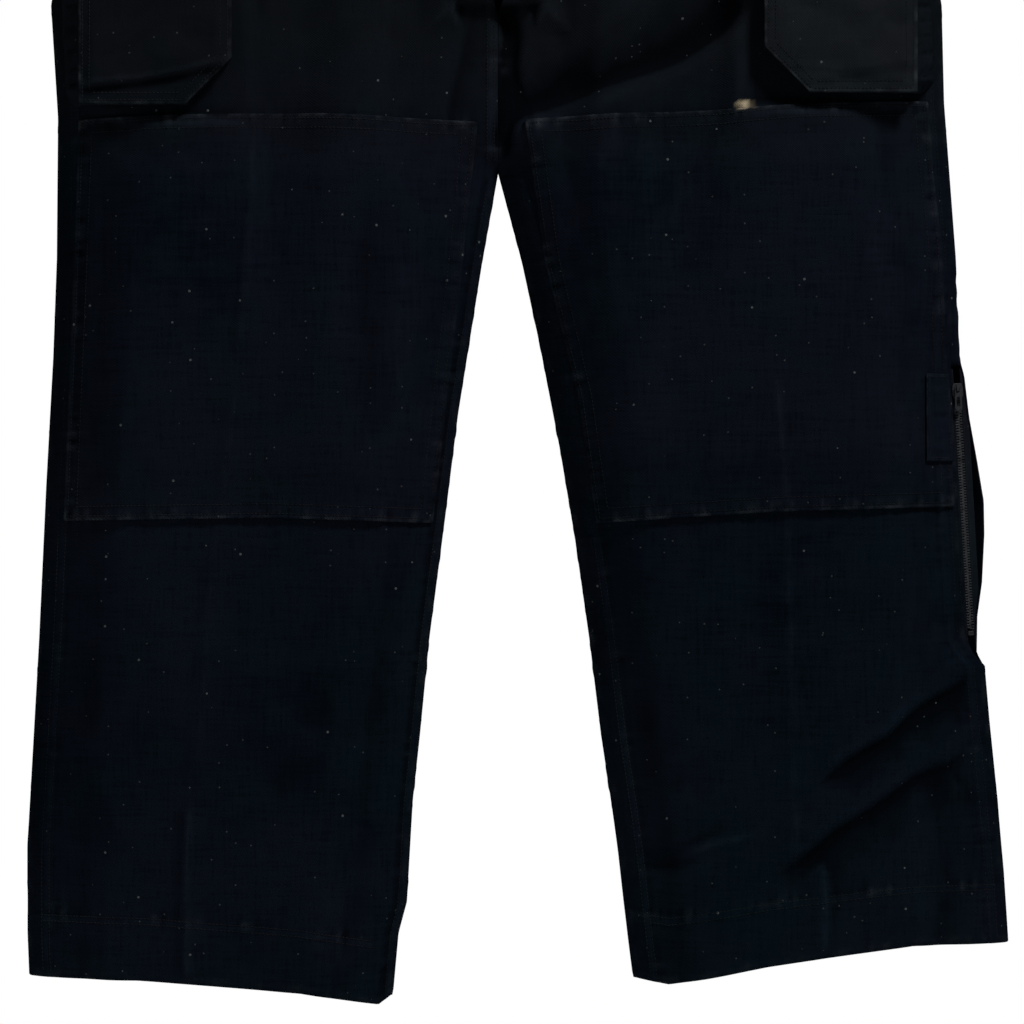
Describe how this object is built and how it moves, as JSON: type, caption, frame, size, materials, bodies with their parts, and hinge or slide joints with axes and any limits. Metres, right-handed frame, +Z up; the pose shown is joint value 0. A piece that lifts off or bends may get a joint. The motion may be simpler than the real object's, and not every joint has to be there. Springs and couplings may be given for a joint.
{
  "type": "bunker pants",
  "caption": "Firefighter's dark woven bunker trousers with knee patches, bellows hip pockets, a fly zip and a side zip at one knee.",
  "frame": {"origin": "centre of the waist opening, level with the top edge of the waistband", "axes": "+Z up along the hanging garment, front towards -Y, +X towards the wearer's left"},
  "size_m": [0.8316, 0.1049, 1.0525],
  "materials": {
    "shell_cloth": "matt woven, near-black navy",
    "patch_cloth": "matt woven, slightly faded navy",
    "lining": "matt quilted lining, dark grey",
    "zip_tape": "woven tape, grey",
    "hook_and_loop": "napped",
    "zip_metal": "worn gunmetal",
    "button_plastic": "matt black",
    "label_cloth": "blank woven label"
  },
  "bodies": {
    "garment": {"back_waistband": "shell_cloth", "care_label": "label_cloth", "fly_zip_left_tape": "zip_tape", "fly_zip_left_teeth": "zip_metal", "fly_zip_right_tape": "zip_tape", "fly_zip_right_teeth": "zip_metal", "left_back_button": "button_plastic", "left_back_hem_facing": "shell_cloth", "left_back_liner": "lining", "left_back_panel": "shell_cloth", "left_front_button_inner": "button_plastic", "left_front_button_outer": "button_plastic", "left_front_hem_facing": "shell_cloth", "left_front_liner": "lining", "left_front_panel": "shell_cloth", "left_inseam": "shell_cloth", "left_knee_padding": "lining", "left_knee_patch": "patch_cloth", "left_outseam_lower": "shell_cloth", "left_outseam_upper": "shell_cloth", "left_pocket_gusset": "shell_cloth", "left_pocket_loop_strip": "hook_and_loop", "left_pocket_panel": "patch_cloth", "left_waistband": "shell_cloth", "leg_zip_back_tape": "zip_tape", "leg_zip_back_teeth": "zip_metal", "leg_zip_bottom_stop": "zip_metal", "leg_zip_front_tape": "zip_tape", "leg_zip_front_teeth": "zip_metal", "leg_zip_guard": "shell_cloth", "right_back_button": "button_plastic", "right_back_hem_facing": "shell_cloth", "right_back_liner": "lining", "right_back_panel": "shell_cloth", "right_front_button_inner": "button_plastic", "right_front_button_outer": "button_plastic", "right_front_hem_facing": "shell_cloth", "right_front_liner": "lining", "right_front_panel": "shell_cloth", "right_inseam": "shell_cloth", "right_knee_padding": "lining", "right_knee_patch": "patch_cloth", "right_outseam": "shell_cloth", "right_pocket_gusset": "shell_cloth", "right_pocket_loop_strip": "hook_and_loop", "right_pocket_panel": "patch_cloth", "right_waistband": "shell_cloth", "waist_snap_stud": "zip_metal"},
    "right_flap": {"right_pocket_flap": "patch_cloth", "right_flap_hook_strip": "hook_and_loop"},
    "left_flap": {"left_pocket_flap": "patch_cloth", "left_flap_hook_strip": "hook_and_loop"},
    "fly_cover": {"fly_flap": "shell_cloth", "waist_snap_cap": "zip_metal"},
    "fly_slider": {"fly_zip_slider": "zip_metal", "fly_zip_pull": "zip_metal"},
    "leg_slider": {"leg_zip_slider": "zip_metal"},
    "leg_pull": {"leg_zip_pull": "zip_metal"}
  },
  "joints": [
    {"name": "right_pocket_flap_lift", "type": "hinge", "parent": "garment", "child": "right_flap", "pos_m": [-0.279, -0.0407, -0.092], "axis": [-1, 0, 0], "range_deg": [0, 120]},
    {"name": "left_pocket_flap_lift", "type": "hinge", "parent": "garment", "child": "left_flap", "pos_m": [0.279, -0.0407, -0.092], "axis": [-1, 0, 0], "range_deg": [0, 120]},
    {"name": "fly_cover_swing", "type": "hinge", "parent": "garment", "child": "fly_cover", "pos_m": [0.034, -0.0416, -0.1], "axis": [0, 0, 1], "range_deg": [0, 160]},
    {"name": "fly_zip_slide", "type": "slide", "parent": "garment", "child": "fly_slider", "axis": [0, 0, -1], "range_m": [0, 0.132]},
    {"name": "leg_zip_slide", "type": "slide", "parent": "garment", "child": "leg_slider", "axis": [0.0566, 0, -0.9984], "range_m": [0, 0.188]},
    {"name": "leg_zip_pull_swing", "type": "hinge", "parent": "leg_slider", "child": "leg_pull", "pos_m": [0.38982, -0.0046, -0.53189], "axis": [-0.9984, 0, -0.0566], "range_deg": [0, 150]}
  ]
}
